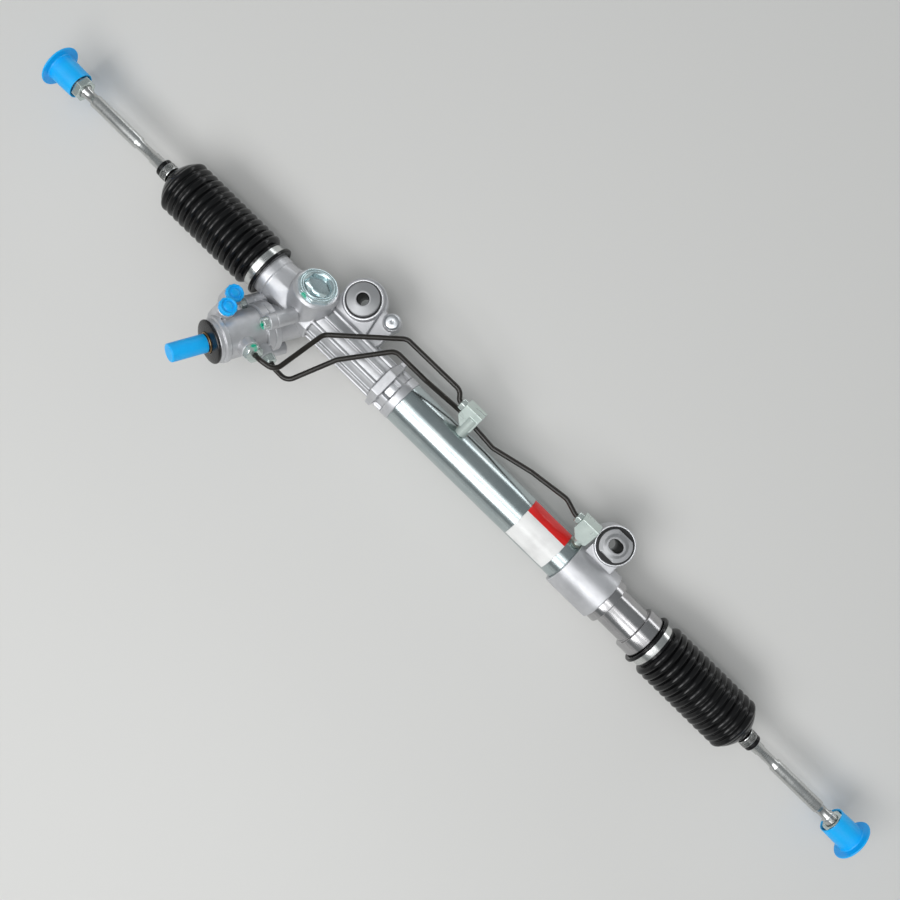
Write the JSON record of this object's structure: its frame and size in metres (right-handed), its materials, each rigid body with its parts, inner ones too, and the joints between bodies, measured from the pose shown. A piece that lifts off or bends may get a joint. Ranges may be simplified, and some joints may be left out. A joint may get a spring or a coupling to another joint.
{
  "type": "hydraulic rack and pinion steering gear",
  "caption": "Hydraulic power steering rack with helical pinion, rotary valve, bolt-on mounts, bellows boots, tie rods, fluid lines and protective caps.",
  "frame": {"origin": "middle of the gear-side mounting bore, on its axis", "axes": "+X along the rack from the gear side to the cylinder side, +Y from the rack towards the mounting eyes, +Z along the mounting bolts, upwards"},
  "size_m": [1.1091, 0.1948, 0.1181],
  "materials": {
    "cast_aluminium": "satin, as cast",
    "zinc_tube": "bright zinc, polished",
    "turned_steel": "fine turned",
    "yellowish_zinc": "pale green-grey zinc",
    "ground_steel": "ground",
    "clamp_steel": "bright",
    "socket_steel": "satin",
    "bush_steel": "satin",
    "yoke_metal": "machined",
    "black_rubber": "semi-gloss",
    "bush_rubber": "matte",
    "seal_rubber": "matte",
    "line_paint": "dark brown, semi-gloss",
    "blue_plastic": "bright blue, satin",
    "bearing_plastic": "ivory"
  },
  "bodies": {
    "gear": {"gear_housing": "cast_aluminium", "valve_housing": "cast_aluminium", "valve_housing_bolts": "yellowish_zinc", "rack_guide_yoke": "yoke_metal", "yoke_spring": "clamp_steel", "yoke_plug": "yellowish_zinc", "yoke_locknut": "yellowish_zinc", "pinion_lower_bearing": "ground_steel", "pinion_upper_bearing": "ground_steel", "pinion_shaft_seal": "seal_rubber", "pinion_bottom_cover": "yellowish_zinc", "input_shaft_seal": "seal_rubber", "dust_seal": "seal_rubber", "cylinder_tube": "zinc_tube", "inner_rack_seal": "seal_rubber", "cylinder_end": "turned_steel", "rack_bush": "bearing_plastic", "outer_rack_seal": "seal_rubber", "end_bracket": "cast_aluminium", "gear_mount_rubber": "bush_rubber", "gear_mount_sleeve": "bush_steel", "far_mount_rubber": "bush_rubber", "far_mount_sleeve": "bush_steel", "lug_pin": "ground_steel", "gear_side_port_block": "yellowish_zinc", "far_side_port_block": "yellowish_zinc", "right_turn_line": "line_paint", "left_turn_line": "line_paint", "line_nuts": "yellowish_zinc", "left_boot": "black_rubber", "left_boot_clamp": "clamp_steel", "right_boot": "black_rubber", "right_boot_clamp": "clamp_steel"},
    "pinion": {"pinion_shaft": "ground_steel", "valve_sleeve": "ground_steel", "valve_rings": "bearing_plastic", "input_shaft": "ground_steel", "torsion_bar": "ground_steel"},
    "rack": {"rack_bar": "ground_steel", "piston": "socket_steel", "piston_ring": "bearing_plastic", "left_lock_washer": "clamp_steel", "right_lock_washer": "clamp_steel", "left_ball_socket": "socket_steel", "right_ball_socket": "socket_steel"},
    "left_seat": {"left_ball_seat": "bearing_plastic"},
    "left_tie_rod_end": {"left_tie_rod": "ground_steel", "left_jam_nut": "yellowish_zinc", "left_boot_clip": "clamp_steel"},
    "left_cap": {"left_rod_cap": "blue_plastic"},
    "right_seat": {"right_ball_seat": "bearing_plastic"},
    "right_tie_rod_end": {"right_tie_rod": "ground_steel", "right_jam_nut": "yellowish_zinc", "right_boot_clip": "clamp_steel"},
    "right_cap": {"right_rod_cap": "blue_plastic"},
    "shaft_cap": {"input_shaft_cap": "blue_plastic"},
    "pressure_plug": {"pressure_port_plug": "blue_plastic"},
    "return_plug": {"return_port_plug": "blue_plastic"}
  },
  "joints": [
    {"name": "rack_slide", "type": "slide", "parent": "gear", "child": "rack", "axis": [1, 0, 0], "range_m": [-0.06, 0.06], "deforming": ["left_boot", "right_boot"]},
    {"name": "pinion_turn", "type": "hinge", "parent": "gear", "child": "pinion", "pos_m": [-0.038, -0.05367, -0.01381], "axis": [-0.342, -0.7698, 0.539], "range_deg": [-436, 436], "deforming": ["left_boot", "right_boot"]},
    {"name": "left_ball_yaw", "type": "hinge", "parent": "rack", "child": "left_seat", "pos_m": [-0.198, -0.044, 0], "axis": [0, 0, 1], "range_deg": [-18, 18], "deforming": ["left_boot"]},
    {"name": "left_ball_pitch", "type": "hinge", "parent": "left_seat", "child": "left_tie_rod_end", "pos_m": [-0.198, -0.044, 0], "axis": [0, 1, 0], "range_deg": [-18, 18], "deforming": ["left_boot"]},
    {"name": "left_cap_pull", "type": "slide", "parent": "left_tie_rod_end", "child": "left_cap", "axis": [-1, 0, 0], "range_m": [0, 0.035]},
    {"name": "right_ball_yaw", "type": "hinge", "parent": "rack", "child": "right_seat", "pos_m": [0.541, -0.044, 0], "axis": [0, 0, 1], "range_deg": [-18, 18], "deforming": ["right_boot"]},
    {"name": "right_ball_pitch", "type": "hinge", "parent": "right_seat", "child": "right_tie_rod_end", "pos_m": [0.541, -0.044, 0], "axis": [0, 1, 0], "range_deg": [-18, 18], "deforming": ["right_boot"]},
    {"name": "right_cap_pull", "type": "slide", "parent": "right_tie_rod_end", "child": "right_cap", "axis": [1, 0, 0], "range_m": [0, 0.035]},
    {"name": "shaft_cap_pull", "type": "slide", "parent": "pinion", "child": "shaft_cap", "axis": [-0.342, -0.7698, 0.539], "range_m": [0, 0.038]},
    {"name": "pressure_plug_pull", "type": "slide", "parent": "gear", "child": "pressure_plug", "axis": [0.2189, 0.4926, 0.8423], "range_m": [0, 0.012]},
    {"name": "return_plug_pull", "type": "slide", "parent": "gear", "child": "return_plug", "axis": [0.2189, 0.4926, 0.8423], "range_m": [0, 0.012]}
  ],
  "couplings": [
    {"joint": "pinion_turn", "follows": "rack_slide", "rad_per_m": -126.68}
  ]
}
